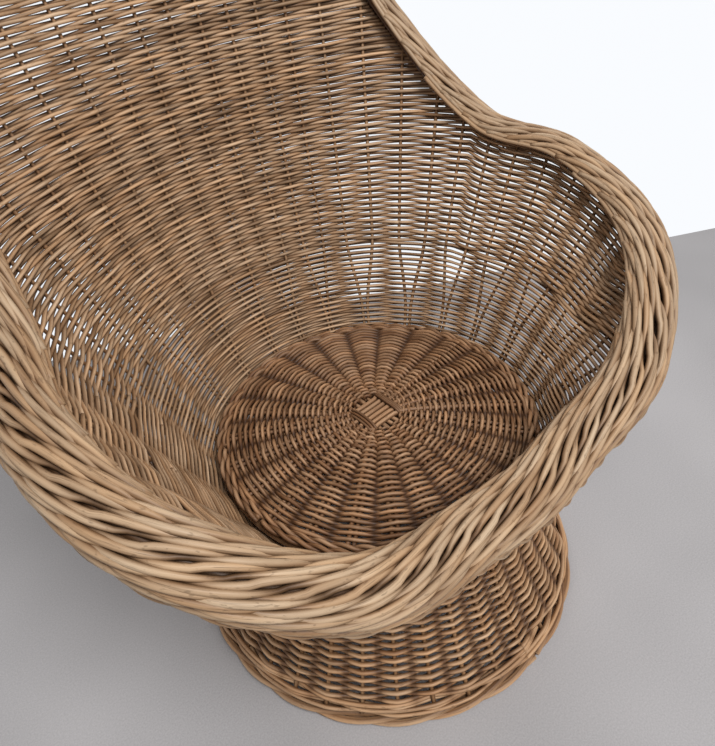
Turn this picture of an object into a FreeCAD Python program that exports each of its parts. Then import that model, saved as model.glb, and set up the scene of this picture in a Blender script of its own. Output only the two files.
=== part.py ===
# Woven willow tub chair with a tall back, standing on a flared woven foot.
# The seat axis is Z, the floor is Z = 0 and the sitter faces -Y. Millimetres.
import FreeCAD, Part
import Sketcher
import math
import os

from FreeCAD import Vector

os.makedirs("parts", exist_ok=True)
doc = FreeCAD.newDocument("TubChair")

# Driving dimensions
SIZES = (
    # Foot
    ("foot_radius", 300.0, "outer radius of the border on the floor"),
    ("foot_border_width", 28.0, "width of the floor border"),
    ("foot_border_height", 20.0, "height of the floor border"),
    ("foot_border_round", 8.0, "rounding of the floor border's edges"),
    ("foot_wale_height", 16.0, "height of the tight rows above the floor border"),
    ("foot_wale_thickness", 18.0, "thickness of those rows"),
    ("foot_flare_radius", 620.0, "radius of the skirt's hollow curve"),
    ("foot_stake_count", 36, "upright rods in the foot"),
    # Waist
    ("waist_radius", 205.0, "mid radius of the wall at the waist"),
    ("waist_height", 205.0, "middle height of the waist band"),
    ("waist_band_height", 16.0, "height of the tight rows at the waist"),
    ("waist_band_thickness", 22.0, "thickness of those rows"),
    # Woven wall
    ("wall_thickness", 16.0, "weavers on both sides of the upright rods"),
    ("rod_diameter", 7.0, "upright rod"),
    ("shell_stake_count", 48, "upright rods in the bowl and back"),
    ("rod_seat_depth", 4.0, "how far a rod's tip is gripped by the row that it ends in"),
    ("belt_height", 415.0, "middle height of the tight belt of rows in the bowl"),
    ("belt_width", 14.0, "height of that belt"),
    ("wing_height", 604.0, "height where the back grows out of the arms"),
    # Seat level of the bowl
    ("base_ring_radius", 250.0, "mid radius of the wall at seat level"),
    ("base_ring_height", 300.0, "height of that ring"),
    ("front_flare", 20.0, "lean of the wall at seat level in front, degrees"),
    ("rear_flare", 30.0, "lean of the wall at seat level behind, degrees"),
    ("rim_lean", 26.0, "outward lean of the wall at the rim, degrees"),
    # Edge of the woven wall: reach from the seat axis and height, from front to back
    ("front_reach", 253.0, "wall's edge in front"),
    ("front_height", 357.0, "wall's edge in front"),
    ("lip_reach", 265.0, "wall's edge beside the front"),
    ("lip_height", 363.0, "wall's edge beside the front"),
    ("corner_reach", 332.0, "wall's edge at the front corners"),
    ("corner_height", 401.0, "wall's edge at the front corners"),
    ("elbow_reach", 380.0, "wall's edge between the corners and the arms"),
    ("elbow_height", 485.0, "wall's edge between the corners and the arms"),
    ("arm_reach", 387.0, "wall's edge on the arms"),
    ("arm_height", 541.0, "wall's edge on the arms"),
    ("notch_reach", 384.0, "wall's edge where the arms meet the back"),
    ("notch_height", 569.0, "wall's edge where the arms meet the back"),
    ("wing_reach", 443.0, "wall's edge at the wings of the back"),
    ("wing_rise", 717.0, "wall's edge at the wings of the back"),
    ("shoulder_reach", 491.0, "wall's edge at the shoulders of the back"),
    ("shoulder_height", 922.0, "wall's edge at the shoulders of the back"),
    ("arch_reach", 489.0, "wall's edge on the arch of the back"),
    ("arch_height", 1036.0, "wall's edge on the arch of the back"),
    ("crown_reach", 480.0, "wall's edge at the top of the back"),
    ("crown_height", 1068.0, "wall's edge at the top of the back"),
    # Rim border
    ("rim_width", 68.0, "width of the plaited border"),
    ("rim_thickness", 30.0, "thickness of the plaited border"),
    ("rim_outset", 2.0, "how far the border sits outside the wall's middle"),
    ("turn_drop", 8.0, "how far a turned-down rod hangs below the border"),
    ("turn_diameter", 8.0, "turned-down rod round the border's lip"),
    ("turn_sweep", 13.0, "angle that a turned-down rod runs along the border, degrees"),
    # Seat
    ("seat_gap", 16.8, "level room between the seat disc's edge and the wall behind it"),
    ("seat_height", 300.0, "top of the seat disc's edge"),
    ("seat_dome", 16.0, "rise of the disc's middle over its edge"),
    ("seat_thickness", 15.0, "thickness of the seat disc"),
    ("seat_edge_width", 16.0, "width of the tight rows at the disc's edge"),
    ("seat_edge_drop", 3.0, "how far the edge rows reach below the disc"),
    ("seat_stick_diameter", 8.0, "stick of the seat disc"),
    ("seat_sticks_each_way", 6, "sticks each way in the cross"),
    ("cross_tie_diameter", 6.0, "rod that ties the cross"),
    ("cross_margin", 3.0, "room around the cross inside the woven disc"),
    # Seat support
    ("hoop_rod_diameter", 16.0, "hoop that carries the seat disc"),
    ("hoop_clearance", 2.2, "level room between the hoop and the sloping wall"),
    ("slip_gap", 0.3, "room left where two rounded pieces touch"),
)

sheet = doc.addObject("Spreadsheet::Sheet", "Sizes")
for row, (alias, value, note) in enumerate(SIZES, start=1):
    sheet.set(f"A{row}", alias)
    sheet.set(f"B{row}", str(value))
    sheet.set(f"C{row}", note)
    sheet.setAlias(f"B{row}", alias)
doc.recompute()

ANGLE_STATIONS = (0.0, 22.0, 45.0, 67.0, 90.0, 112.0, 135.0, 148.0, 162.0, 180.0)
STATION_NAMES = (
    ("front_reach", "front_height"),
    ("lip_reach", "lip_height"),
    ("corner_reach", "corner_height"),
    ("elbow_reach", "elbow_height"),
    ("arm_reach", "arm_height"),
    ("notch_reach", "notch_height"),
    ("wing_reach", "wing_rise"),
    ("shoulder_reach", "shoulder_height"),
    ("arch_reach", "arch_height"),
    ("crown_reach", "crown_height"),
)
HALF_STEPS = 36
LOWER_ROWS = 4
UPPER_ROWS = 10
nodes = []
derived = []


def size(alias):
    """Value of one cell of the sheet."""
    return float(sheet.get(alias))


def count(alias):
    """Whole number in one cell of the sheet."""
    return int(round(size(alias)))


def cell(expression):
    """Value of an expression that is written with the sheet's aliases."""
    return float(sheet.evalExpression(expression))


def keep(piece, label):
    """Give an object its own label and list it as a sub-part."""
    piece.Label = label
    nodes.append(piece)
    return piece


def feature(label, shape):
    """Sub-part whose shape is made by a function in this file."""
    piece = doc.addObject("Part::Feature", label)
    piece.Shape = shape
    piece.Placement = FreeCAD.Placement()
    return keep(piece, label)


# Rim path and wall


def station_slope(values, index):
    """Slope of a smooth curve through the stations, level at both ends."""
    if index in (0, len(values) - 1):
        return 0.0
    span = ANGLE_STATIONS[index + 1] - ANGLE_STATIONS[index - 1]
    return (values[index + 1] - values[index - 1]) / span


def along_stations(values, angle):
    """Cubic curve through the station values, alike on both sides of the chair."""
    turn = abs((angle + 180.0) % 360.0 - 180.0)
    index = 0
    while index < len(values) - 2 and turn > ANGLE_STATIONS[index + 1]:
        index += 1
    span = ANGLE_STATIONS[index + 1] - ANGLE_STATIONS[index]
    p = (turn - ANGLE_STATIONS[index]) / span
    first = values[index] * (1 + 2 * p) * (1 - p) ** 2
    last = values[index + 1] * (3 - 2 * p) * p**2
    leave = station_slope(values, index) * span * p * (1 - p) ** 2
    arrive = station_slope(values, index + 1) * span * p**2 * (p - 1)
    return first + last + leave + arrive


REACHES = tuple(size(reach) for reach, _ in STATION_NAMES)
HEIGHTS = tuple(size(height) for _, height in STATION_NAMES)
LEAN = math.radians(size("rim_lean"))


def wall_end(angle):
    """Radius and height where the middle of the woven wall meets the border."""
    return along_stations(REACHES, angle), along_stations(HEIGHTS, angle)


def bezier(points, p):
    """Point of a cubic with four control points given as radius and height."""
    weights = ((1 - p) ** 3, 3 * p * (1 - p) ** 2, 3 * p**2 * (1 - p), p**3)
    radius = sum(weight * point[0] for weight, point in zip(weights, points))
    height = sum(weight * point[1] for weight, point in zip(weights, points))
    return radius, height


def controls(start, start_lean, end, end_lean, pull):
    """Control points of a wall curve that leaves and arrives at given leans."""
    reach = pull * math.hypot(end[0] - start[0], end[1] - start[1])
    leave = (start[0] + reach * math.sin(start_lean), start[1] + reach * math.cos(start_lean))
    arrive = (end[0] - reach * math.sin(end_lean), end[1] - reach * math.cos(end_lean))
    return start, leave, arrive, end


CURVE_PULL = 0.36


def wall_middle(angle, level):
    """Middle of the wall: level 0 at the waist, 1 at seat level and 2 at the border."""
    waist = (size("waist_radius"), size("waist_height") + size("waist_band_height") / 2)
    base = (size("base_ring_radius"), size("base_ring_height"))
    side = (size("rear_flare") + size("front_flare")) / 2
    swing = (size("rear_flare") - size("front_flare")) / 2
    flare = math.radians(side - swing * math.cos(math.radians(angle)))
    if level <= 1:
        return bezier(controls(waist, 0.0, base, flare, CURVE_PULL), level)
    return bezier(controls(base, flare, wall_end(angle), LEAN, CURVE_PULL), level - 1)


def polar(angle, radius, height):
    """Point at an angle from the front, positive towards +X."""
    turn = math.radians(angle)
    return Vector(radius * math.sin(turn), -radius * math.cos(turn), height)


ANGLE_STEP = 0.25
LEVEL_STEP = 0.001


def wall_along(angle, level):
    """Direction round the chair at a point of the wall."""
    ahead = polar(angle + ANGLE_STEP, *wall_middle(angle + ANGLE_STEP, level))
    behind = polar(angle - ANGLE_STEP, *wall_middle(angle - ANGLE_STEP, level))
    return (ahead - behind).normalize()


def wall_outward(angle, level):
    """Direction square to the wall, away from the sitter."""
    above = polar(angle, *wall_middle(angle, min(level + LEVEL_STEP, 2.0)))
    below = polar(angle, *wall_middle(angle, max(level - LEVEL_STEP, 0.0)))
    return wall_along(angle, level).cross(above - below).normalize()


def wall_point(angle, level, outward):
    """Point of the wall, shifted outward from its middle."""
    middle = polar(angle, *wall_middle(angle, level))
    return middle + wall_outward(angle, level) * outward


def rim_point(angle, outward, upward):
    """Point of the border's section, measured from the middle of the wall's edge."""
    across = wall_outward(angle, 2.0)
    away = across.cross(wall_along(angle, 2.0))
    return wall_point(angle, 2.0, outward) + away * upward


def pole_places(steps):
    """Where a smooth curve with evenly spaced knots has its poles, in steps from its start."""
    return [0.0, 1 / 3, *range(1, steps), steps - 1 / 3, float(steps)]


def clamped_surface(rows):
    """Cubic surface that starts and ends on its outer rows of poles."""
    surface = Part.BSplineSurface()
    steps = [len(rows) - 3, len(rows[0]) - 3]
    ends = [[4] + [1] * (number - 1) + [4] for number in steps]
    knots = [[float(knot) for knot in range(number + 1)] for number in steps]
    surface.buildFromPolesMultsKnots(rows, *ends, *knots, False, False, 3, 3)
    return surface


def half_skin(point_at, places):
    """Surface on the +X side from front to back, square to the middle plane at both."""
    step = 180.0 / HALF_STEPS
    rows = [[point_at(step * index, place) for place in places] for index in pole_places(HALF_STEPS)]
    for beside, edge in ((1, 0), (-2, -1)):
        pairs = zip(rows[beside], rows[edge])
        rows[beside] = [Vector(pole.x, end.y, end.z) for pole, end in pairs]
        rows[edge] = [Vector(0, pole.y, pole.z) for pole in rows[edge]]
    return clamped_surface(rows)


def skin_edge(surface, last):
    """First or last curve that runs from front to back along a skin."""
    bounds = surface.bounds()
    return surface.vIso(bounds[3] if last else bounds[2]).toShape()


def ruled(first, last):
    """Face of straight lines between two edges."""
    return Part.makeLoft([Part.Wire([first]), Part.Wire([last])], False, True).Faces[0]


def middle_face(faces, side):
    """Flat face that closes the half in the middle plane, in front (-1) or behind (1)."""
    edges = [edge for face in faces for edge in face.Edges]
    flat = [edge for edge in edges if abs(edge.CenterOfMass.x) < 1e-6]
    chosen = [edge for edge in flat if side * edge.CenterOfMass.y > 0]
    return Part.Face(Part.Wire(Part.sortEdges(chosen)[0]))


def half_solid(faces):
    """Solid of the +X side bounded by faces and by the middle plane."""
    closed = faces + [middle_face(faces, -1), middle_face(faces, 1)]
    shell = Part.Compound(closed)
    shell.sewShape()
    solid = Part.Solid(shell.Shells[0])
    if solid.Volume < 0:
        solid.reverse()
    return solid


def wall_levels():
    """Levels of the wall's rows of poles, closer together in the bowl."""
    places = pole_places(LOWER_ROWS + UPPER_ROWS)
    return [p / LOWER_ROWS if p < LOWER_ROWS else 1 + (p - LOWER_ROWS) / UPPER_ROWS for p in places]


def wall_half():
    """Woven wall from the waist to the border, +X side."""
    half = size("wall_thickness") / 2
    levels = wall_levels()
    outer = half_skin(lambda angle, level: wall_point(angle, level, half), levels)
    inner = half_skin(lambda angle, level: wall_point(angle, level, -half), levels)
    ends = [ruled(skin_edge(outer, last), skin_edge(inner, last)) for last in (False, True)]
    return half_solid([outer.toShape(), inner.toShape()] + ends)


# Poles of the border's section as shares of half its width and of its thickness
RIM_SECTION = ((1.0, 0.0), (1.06, 0.35), (0.9, 0.85), (0.45, 1.0), (0.0, 1.0))
RIM_SECTION += tuple((-across, up) for across, up in reversed(RIM_SECTION[:-1]))


def rim_half():
    """Plaited border with a flat underside on the wall's end, +X side."""
    half = size("rim_width") / 2
    outset = size("rim_outset")
    rise = size("rim_thickness")

    def section_point(angle, share):
        return rim_point(angle, outset + share[0] * half, share[1] * rise)

    top = half_skin(section_point, RIM_SECTION)
    return half_solid([top.toShape(), ruled(skin_edge(top, False), skin_edge(top, True))])


# Rods


def rod(points, diameter, pieces):
    """Round rod with flat ends, made of short straight pieces, that runs smoothly near points."""
    curve = Part.BSplineCurve()
    curve.buildFromPoles(points, False, 3)
    first = curve.FirstParameter
    span = curve.LastParameter - first
    along = curve.tangent(first)[0]
    across = along.cross(Vector(0, 0, 1)) + along.cross(Vector(1, 0, 0)) * NUDGE
    rings = []
    for index in range(pieces + 1):
        place = first + span * index / pieces
        along = curve.tangent(place)[0]
        across = (across - along * across.dot(along)).normalize()
        ring = Part.Circle(curve.value(place), along, diameter / 2)
        ring.XAxis = across
        rings.append(Part.Wire([ring.toShape()]))
    return Part.makeLoft(rings, True, True)


# Keeps the start direction of a rod's rings defined for an upright rod
NUDGE = 0.01
SHELL_ROD_PIECES = 12
FOOT_ROD_PIECES = 4
TURN_PIECES = 6
SEAT_STICK_PIECES = 10
SIDE_STICK_PIECES = 3


def shell_stake(angle):
    """Upright rod from the waist band to the border."""
    middle = [wall_point(angle, level, 0.0) for level in wall_levels()]
    return rod(middle, size("rod_diameter"), SHELL_ROD_PIECES)


def shell_stakes(first_angle, last_angle):
    """Upright rods between two angles on both sides of the chair."""
    step = 360.0 / count("shell_stake_count")
    angles = [step * (index + 0.5) for index in range(count("shell_stake_count"))]
    chosen = [a for a in angles if first_angle <= abs((a + 180.0) % 360.0 - 180.0) < last_angle]
    return Part.Compound([shell_stake(angle) for angle in chosen])


def skirt_radius(height):
    """Mid radius of the foot's skirt, which curves in between border and waist."""
    top = (size("waist_radius"), size("waist_height"))
    foot = (size("foot_radius") - size("foot_border_width") / 2, size("foot_border_height"))
    chord = math.hypot(top[0] - foot[0], top[1] - foot[1])
    middle = ((top[0] + foot[0]) / 2, (top[1] + foot[1]) / 2)
    away = math.sqrt(size("foot_flare_radius") ** 2 - chord**2 / 4)
    across = ((top[1] - foot[1]) / chord, (foot[0] - top[0]) / chord)
    centre = (middle[0] + away * across[0], middle[1] + away * across[1])
    return centre[0] - math.sqrt(size("foot_flare_radius") ** 2 - (height - centre[1]) ** 2)


def skirt_face(low, high, thickness):
    """Face between two heights of the skirt, with arcs inside and outside."""
    half = thickness / 2
    middle = (low + high) / 2

    def corner(height, outward):
        return Vector(skirt_radius(height) + outward, 0, height)

    outside = Part.Arc(corner(low, half), corner(middle, half), corner(high, half)).toShape()
    inside = Part.Arc(corner(high, -half), corner(middle, -half), corner(low, -half)).toShape()
    top = Part.LineSegment(corner(high, half), corner(high, -half)).toShape()
    bottom = Part.LineSegment(corner(low, -half), corner(low, half)).toShape()
    return Part.Face(Part.Wire([outside, top, inside, bottom]))


def foot_stake(angle):
    """Upright rod of the foot, gripped by the band at the waist."""
    low = size("foot_border_height")
    high = size("waist_height")
    shares = [place / FOOT_ROD_PIECES for place in pole_places(FOOT_ROD_PIECES)]
    heights = [low + (high - low) * share for share in shares]
    middle = [polar(angle, skirt_radius(height), height) for height in heights]
    return rod(middle, size("rod_diameter"), FOOT_ROD_PIECES)


def rim_turn(angle):
    """Rod that comes out under the border, turns round its lip and is tucked in above."""
    half = size("turn_diameter") / 2
    wall = size("wall_thickness") / 2 + half
    lip = size("rim_outset") + size("rim_width") / 2
    sweep = size("turn_sweep")
    route = (
        (0.0, wall, 0.0),
        (0.1, (wall + lip) / 2, -size("turn_drop")),
        (0.4, lip, -half),
        (0.7, lip + half, half),
        (1.0, lip - half, size("rim_thickness") / 3),
    )
    points = [rim_point(angle - sweep * share, outward, upward) for share, outward, upward in route]
    return rod(points, size("turn_diameter"), TURN_PIECES)


# Seat disc


def seat_middle(radius):
    """Height of the disc's middle layer at a radius."""
    edge = size("seat_height") - size("seat_thickness") / 2
    return edge + size("seat_dome") * (1 - (radius / size("seat_radius")) ** 2)


def cross_half():
    """Half the side of the square where the sticks cross."""
    return count("seat_sticks_each_way") * size("seat_stick_diameter") / 2


def seat_stick_points(index, layer):
    """Half of a stick: straight in the cross, then fanned out to its rib."""
    ways = count("seat_sticks_each_way")
    place = index - (ways - 1) / 2
    offset = place * size("seat_stick_diameter")
    rib = math.radians(place * 90.0 / ways)
    lift = layer * size("seat_stick_diameter") / 2
    tip = size("seat_radius") - size("seat_edge_width") + size("rod_seat_depth")
    start = cross_half()
    points = [Vector(0, offset, seat_middle(0) + lift), Vector(start, offset, seat_middle(start) + lift)]
    for share in (0.25, 0.6, 1.0):
        radius = start + (tip - start) * share
        height = seat_middle(radius) + lift * (1 - share)
        points.append(Vector(radius * math.cos(rib), radius * math.sin(rib), height))
    return points


def seat_stick(index, layer, turn):
    """Whole stick across the disc, turned about the seat axis."""
    half = seat_stick_points(index, layer)
    other = [Vector(-point.x, point.y, point.z) for point in reversed(half[1:])]
    stick = rod(other + half, size("seat_stick_diameter"), SEAT_STICK_PIECES)
    stick.rotate(Vector(0, 0, 0), Vector(0, 0, 1), turn)
    return stick


def seat_sticks(layer, turn):
    """All sticks that run one way."""
    rows = range(count("seat_sticks_each_way"))
    return Part.Compound([seat_stick(index, layer, turn) for index in rows])


def side_stick(angle):
    """Short stick that doubles a rib from near the cross to the edge."""
    start = cross_half() * math.sqrt(2) + size("seat_stick_diameter")
    tip = size("seat_radius") - size("seat_edge_width") + size("rod_seat_depth")
    beside = size("seat_stick_diameter") + size("slip_gap")
    points = []
    for share in (0.0, 1 / 3, 2 / 3, 1.0):
        radius = start + (tip - start) * share
        turn = math.radians(angle)
        x = radius * math.cos(turn) - beside * math.sin(turn)
        y = radius * math.sin(turn) + beside * math.cos(turn)
        points.append(Vector(x, y, seat_middle(radius)))
    return rod(points, size("seat_stick_diameter"), SIDE_STICK_PIECES)


def side_sticks():
    """One doubling stick for each rib."""
    ribs = 4 * count("seat_sticks_each_way")
    return Part.Compound([side_stick((index + 0.5) * 360.0 / ribs) for index in range(ribs)])


def domed_ring(inner, outer, below, above):
    """Ring that follows the disc's dome, between two distances from its middle layer."""
    middle = (inner + outer) / 2
    top = Part.Arc(*[Vector(r, 0, seat_middle(r) + above) for r in (inner, middle, outer)]).toShape()
    base = Part.Arc(*[Vector(r, 0, seat_middle(r) - below) for r in (outer, middle, inner)]).toShape()
    outside = Part.LineSegment(top.valueAt(top.LastParameter), base.valueAt(base.FirstParameter)).toShape()
    inside = Part.LineSegment(base.valueAt(base.LastParameter), top.valueAt(top.FirstParameter)).toShape()
    face = Part.Face(Part.Wire([top, outside, base, inside]))
    return face.revolve(Vector(0, 0, 0), Vector(0, 0, 1), 360)


def cross_tie(side):
    """Tie that wraps the cross along one side."""
    radius = size("cross_tie_diameter") / 2
    reach = cross_half()
    x = side * (reach - radius)
    height = seat_middle(reach) + size("seat_stick_diameter") + radius
    return Part.makeCylinder(radius, 2 * reach, Vector(x, -reach, height), Vector(0, 1, 0))


# Parametric bodies


def origin_plane(body, role):
    """One of the body's own origin planes."""
    return next(plane for plane in body.Origin.OriginFeatures if plane.Role == role)


def fix_corner(sketch, edge, name, radius, height):
    """Bind the start of an edge to a radius and a height."""
    for axis, expression in (("DistanceX", radius), ("DistanceY", height)):
        value = cell(expression)
        if abs(value) < 1e-9:
            sketch.addConstraint(Sketcher.Constraint("PointOnObject", edge, 1, -1))
            continue
        index = sketch.addConstraint(Sketcher.Constraint(axis, -1, 1, edge, 1, value))
        sketch.renameConstraint(index, f"{name}_{axis[-1].lower()}")
        sketch.setExpression(f"Constraints.{name}_{axis[-1].lower()}", expression)


def turned_body(label, corners):
    """Body turned about Z from straight edges between corners bound to the sheet."""
    body = doc.addObject("PartDesign::Body", label)
    sketch = body.newObject("Sketcher::SketchObject", f"{label}_outline")
    sketch.AttachmentSupport = (origin_plane(body, "XZ_Plane"), [""])
    sketch.MapMode = "FlatFace"
    places = [Vector(cell(radius), cell(height), 0) for radius, height in corners]
    for index, place in enumerate(places):
        sketch.addGeometry(Part.LineSegment(place, places[(index + 1) % len(places)]), False)
    for index, (radius, height) in enumerate(corners):
        following = (index + 1) % len(corners)
        sketch.addConstraint(Sketcher.Constraint("Coincident", index, 2, following, 1))
        fix_corner(sketch, index, f"corner{index}", radius, height)
    turned = body.newObject("PartDesign::Revolution", f"{label}_turn")
    turned.Profile = sketch
    turned.ReferenceAxis = (sketch, ["V_Axis"])
    turned.Angle = 360
    doc.recompute()
    return keep(body, label)


def round_edges(body, radius, chosen):
    """Round the turned body's edges that a test picks."""
    base = body.Tip
    names = [f"Edge{i + 1}" for i, edge in enumerate(base.Shape.Edges) if chosen(edge)]
    fillet = body.newObject("PartDesign::Fillet", f"{body.Label}_round")
    fillet.Base = (base, names)
    fillet.setExpression("Radius", radius)
    doc.recompute()


def is_circle_at(edge, radius, height):
    """True for a full circular edge at a radius and a height."""
    curve = edge.Curve
    if not isinstance(curve, Part.Circle):
        return False
    return abs(curve.Radius - radius) < 0.01 and abs(curve.Center.z - height) < 0.01


def build_foot():
    """Floor border, tight rows, skirt and rods of the foot."""
    outer = "Sizes.foot_radius"
    inner = "Sizes.foot_radius - Sizes.foot_border_width"
    top = "Sizes.foot_border_height"
    border = turned_body("foot_border", ((inner, "0"), (outer, "0"), (outer, top), (inner, top)))
    rounded = [(cell(outer), 0.0), (cell(outer), cell(top))]
    round_edges(
        border,
        "Sizes.foot_border_round",
        lambda edge: any(is_circle_at(edge, radius, height) for radius, height in rounded),
    )
    low = size("foot_border_height")
    wale_top = low + size("foot_wale_height")
    band_low = size("waist_height") - size("waist_band_height") / 2
    wale = skirt_face(low, wale_top, size("foot_wale_thickness"))
    weave = skirt_face(wale_top, band_low, size("wall_thickness"))
    axis = (Vector(0, 0, 0), Vector(0, 0, 1), 360)
    feature("foot_wale", wale.revolve(*axis))
    feature("foot_weave", weave.revolve(*axis))
    step = 360.0 / count("foot_stake_count")
    rods = [foot_stake(step * index) for index in range(count("foot_stake_count"))]
    feature("foot_stakes", Part.Compound(rods))


def build_waist():
    """Band of tight rows that ties the bowl to the foot."""
    inner = "Sizes.waist_radius - Sizes.waist_band_thickness / 2"
    outer = "Sizes.waist_radius + Sizes.waist_band_thickness / 2"
    low = "Sizes.waist_height - Sizes.waist_band_height / 2"
    high = "Sizes.waist_height + Sizes.waist_band_height / 2"
    turned_body("waist_band", ((inner, low), (outer, low), (outer, high), (inner, high)))


def level_box(name, low, high):
    """Large box between two heights, used to divide the wall."""
    box = doc.addObject("Part::Box", name)
    for side in ("Length", "Width"):
        box.setExpression(side, "4 * Sizes.crown_reach")
    box.setExpression("Height", f"({high}) - ({low})")
    box.setExpression("Placement.Base.x", "-2 * Sizes.crown_reach")
    box.setExpression("Placement.Base.y", "-2 * Sizes.crown_reach")
    box.setExpression("Placement.Base.z", low)
    return box


def wall_part(label, wall, low, high):
    """Part of the wall between two heights."""
    part = doc.addObject("Part::Common", label)
    part.Base = wall
    part.Tool = level_box(f"{label}_range", low, high)
    return keep(part, label)


def both_sides(label, shape):
    """Join a half with its mirror image across the middle plane."""
    half = doc.addObject("Part::Feature", f"{label}_half")
    half.Shape = shape
    other = doc.addObject("Part::Mirroring", f"{label}_other_half")
    other.Source = half
    other.Normal = Vector(1, 0, 0)
    whole = doc.addObject("Part::Fuse", label)
    whole.Base = half
    whole.Tool = other
    doc.recompute()
    return whole


def build_wall():
    """Woven wall in four levels, as the rows are worked."""
    wall = both_sides("whole_wall", wall_half())
    belt_low = "Sizes.belt_height - Sizes.belt_width / 2"
    belt_high = "Sizes.belt_height + Sizes.belt_width / 2"
    wall_part("bowl_weave", wall, "0", belt_low)
    wall_part("belt_wale", wall, belt_low, belt_high)
    wall_part("side_weave", wall, belt_high, "Sizes.wing_height")
    wall_part("back_weave", wall, "Sizes.wing_height", "2 * Sizes.crown_height")


def build_shell_rods():
    """Upright rods of the bowl by where they end, and the border with its turned rods."""
    feature("front_stakes", shell_stakes(0.0, 56.0))
    feature("arm_stakes", shell_stakes(56.0, 112.0))
    feature("back_stakes", shell_stakes(112.0, 181.0))
    keep(both_sides("rim_border", rim_half()), "rim_border")
    step = 360.0 / count("shell_stake_count")
    turns = [rim_turn(step * index) for index in range(count("shell_stake_count"))]
    feature("rim_turns", Part.Compound(turns))


def derive(alias, value, note):
    """Add a size that follows from the others to the sheet."""
    row = len(SIZES) + len(derived) + 1
    derived.append(alias)
    sheet.set(f"A{row}", alias)
    sheet.set(f"B{row}", str(value))
    sheet.set(f"C{row}", note)
    sheet.setAlias(f"B{row}", alias)


def wall_inside(height):
    """Radius of the wall's inner side behind, at a height."""
    low, high = 0.0, 2.0
    while high - low > 1e-6:
        middle = (low + high) / 2
        if wall_point(180.0, middle, -size("wall_thickness") / 2).z < height:
            low = middle
        else:
            high = middle
    return wall_point(180.0, low, -size("wall_thickness") / 2).y


def fit_seat():
    """Size the seat disc from the wall around it."""
    radius = wall_inside(size("seat_height")) - size("seat_gap")
    derive("seat_radius", radius, "outer radius of the seat disc")
    doc.recompute()


def build_seat():
    """Woven seat disc with its crossed sticks."""
    feature("cross_upper_sticks", seat_sticks(1, 0.0))
    feature("cross_lower_sticks", seat_sticks(-1, 90.0))
    feature("rib_side_sticks", side_sticks())
    feature("cross_ties", Part.Compound([cross_tie(-1), cross_tie(1)]))
    half = size("seat_thickness") / 2
    hole = cross_half() * math.sqrt(2) + size("cross_margin")
    joint = size("seat_radius") - size("seat_edge_width")
    feature("seat_weave", domed_ring(hole, joint, half, half))
    feature("seat_edge", domed_ring(joint, size("seat_radius"), half + size("seat_edge_drop"), half))


HOOP_ROUNDS = 8


def hoop_place():
    """Radius and height of the hoop that lies against the wall and right under the disc's edge."""
    half = size("hoop_rod_diameter") / 2
    radius = size("seat_radius")
    for _ in range(HOOP_ROUNDS):
        under = seat_middle(radius) - size("seat_thickness") / 2 - size("seat_edge_drop")
        level = under - half - size("slip_gap")
        radius = wall_inside(level) - half - size("hoop_clearance")
    return radius, level


def build_seat_support():
    """Hoop under the seat disc's edge."""
    radius, level = hoop_place()
    derive("hoop_radius", radius, "middle of the hoop's rod")
    derive("hoop_level", level, "height of the hoop's middle")
    doc.recompute()
    hoop = doc.addObject("Part::Torus", "seat_hoop")
    hoop.setExpression("Radius1", "Sizes.hoop_radius")
    hoop.setExpression("Radius2", "Sizes.hoop_rod_diameter / 2")
    hoop.setExpression("Placement.Base.z", "Sizes.hoop_level")
    keep(hoop, "seat_hoop")


build_foot()
build_waist()
build_wall()
build_shell_rods()
fit_seat()
build_seat()
build_seat_support()
doc.recompute()

for item in doc.Objects:
    if "Invalid" in item.State or "Error" in item.State:
        raise RuntimeError(f"{item.Name} did not build: {item.State}")
for piece in nodes:
    if piece.Shape.isNull() or not piece.Shape.isValid():
        raise RuntimeError(f"{piece.Label} has no valid shape")
for piece in nodes:
    piece.Shape.exportStep(f"parts/{piece.Label}.step")
    solids = piece.Shape.Solids
    print(piece.Label, len(solids), "solids", round(piece.Shape.Volume / 1000, 1), "cm3")
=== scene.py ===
import math
from collections import namedtuple

import bpy
import numpy as np
from bpy.props import FloatProperty, FloatVectorProperty, IntProperty, PointerProperty
from mathutils import Matrix, Vector


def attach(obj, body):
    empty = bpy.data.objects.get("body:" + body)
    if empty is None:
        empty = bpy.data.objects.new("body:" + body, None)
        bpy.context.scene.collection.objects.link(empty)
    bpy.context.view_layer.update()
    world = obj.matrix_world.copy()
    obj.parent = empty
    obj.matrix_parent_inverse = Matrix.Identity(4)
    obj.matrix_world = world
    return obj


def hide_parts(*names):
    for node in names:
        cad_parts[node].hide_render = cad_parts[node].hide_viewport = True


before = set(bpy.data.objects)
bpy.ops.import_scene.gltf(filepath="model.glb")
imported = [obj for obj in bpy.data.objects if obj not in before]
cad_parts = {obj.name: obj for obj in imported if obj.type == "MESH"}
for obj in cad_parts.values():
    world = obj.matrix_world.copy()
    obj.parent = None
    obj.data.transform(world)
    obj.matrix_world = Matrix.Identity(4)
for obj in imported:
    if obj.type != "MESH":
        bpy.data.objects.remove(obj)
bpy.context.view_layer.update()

bl_info = {
    "name": "Woven willow tub chair",
    "version": (1, 0, 0),
    "blender": (4, 5, 0),
    "location": "3D View > Sidebar > Willow chair",
    "description": "Weaves a tall backed willow tub chair on a flared foot, rod by rod",
    "category": "Add Mesh",
}

BODY = "root"
Rope = namedtuple("Rope", "width height radius count pitch samples")

# Sizes are in metres. Angles are in degrees from the front, positive towards +X.

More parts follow.
